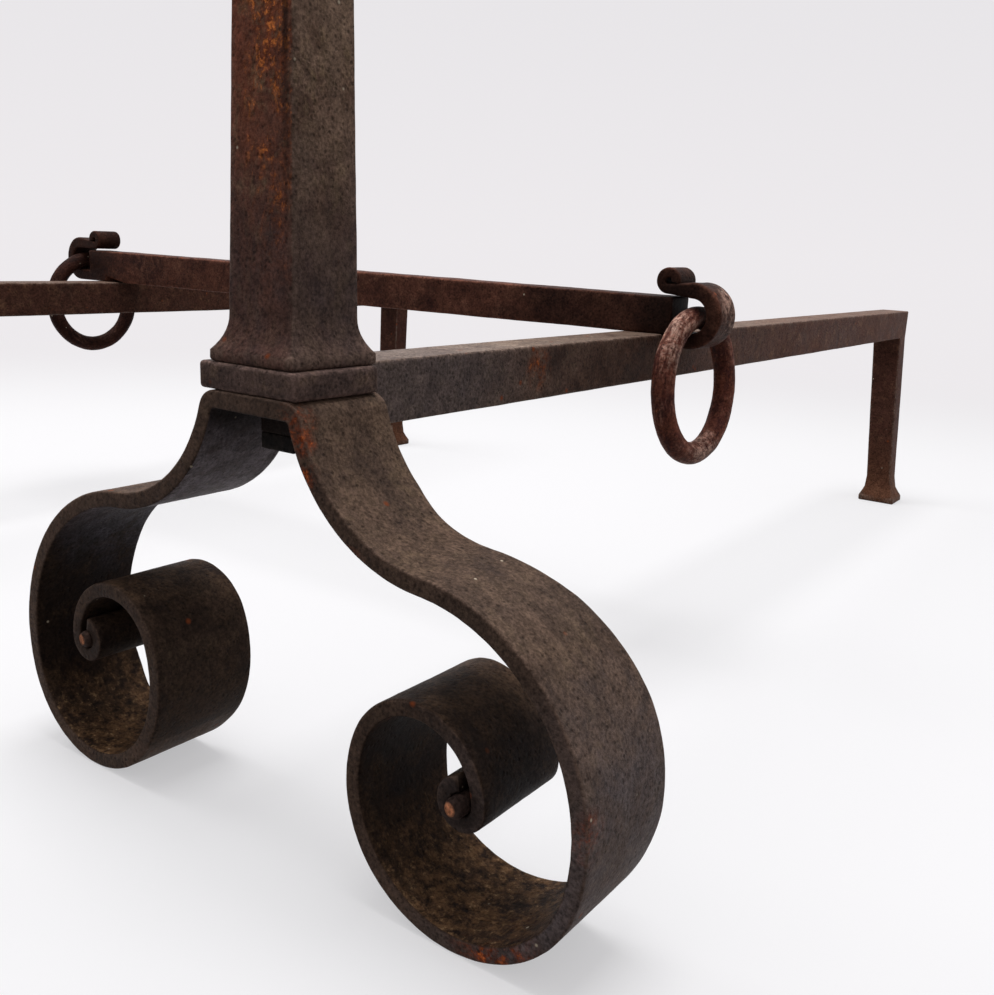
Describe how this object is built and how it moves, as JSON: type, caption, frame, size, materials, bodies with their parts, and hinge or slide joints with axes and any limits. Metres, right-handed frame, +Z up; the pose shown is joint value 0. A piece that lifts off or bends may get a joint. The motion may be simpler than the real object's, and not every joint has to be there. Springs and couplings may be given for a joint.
{
  "type": "andiron",
  "caption": "Wrought-iron andirons with scrolled strap legs, square tapering posts, billet bars, and a loose crossbar with hanging rings.",
  "frame": {"origin": "on the floor under the middle of the whole set", "axes": "+X to the right seen from the front, +Y to the back of the hearth along the billet bars, +Z up along the posts"},
  "size_m": [0.653, 0.8006, 0.44],
  "materials": {
    "strap_iron": "dark forged iron with traces of rust",
    "pin_copper": "rust-orange pin heads",
    "plinth_iron": "dark forged iron",
    "post_iron": "dark forged iron, worn along the corners",
    "bar_iron": "brown forged iron, tan on top",
    "nut_iron": "black forged iron",
    "crossbar_iron": "red-brown forged iron",
    "ring_iron": "red-brown forged iron, worn"
  },
  "bodies": {
    "right_andiron": {"right_scroll_leg": "strap_iron", "right_eye_pins": "pin_copper", "right_plinth": "plinth_iron", "right_post": "post_iron", "right_billet_bar": "bar_iron", "right_nut": "nut_iron"},
    "left_andiron": {"left_scroll_leg": "strap_iron", "left_eye_pins": "pin_copper", "left_plinth": "plinth_iron", "left_post": "post_iron", "left_billet_bar": "bar_iron", "left_nut": "nut_iron"},
    "crossbar": {"crossbar": "crossbar_iron"},
    "right_ring": {"right_ring": "ring_iron"},
    "left_ring": {"left_ring": "ring_iron"}
  },
  "joints": [
    {"name": "left_andiron_slide", "type": "slide", "parent": "right_andiron", "child": "left_andiron", "axis": [0, 1, 0], "range_m": [0, 0.1215]},
    {"name": "crossbar_slide", "type": "slide", "parent": "right_andiron", "child": "crossbar", "axis": [0, 1, 0], "range_m": [-0.17, 0.235]},
    {"name": "right_ring_swing", "type": "hinge", "parent": "crossbar", "child": "right_ring", "pos_m": [0.2293, -0.02835, 0.16212], "axis": [0, -1, 0], "range_deg": [-16, 100]},
    {"name": "left_ring_swing", "type": "hinge", "parent": "crossbar", "child": "left_ring", "pos_m": [-0.2388, -0.02835, 0.16732], "axis": [0, 1, 0], "range_deg": [-25, 100]}
  ]
}
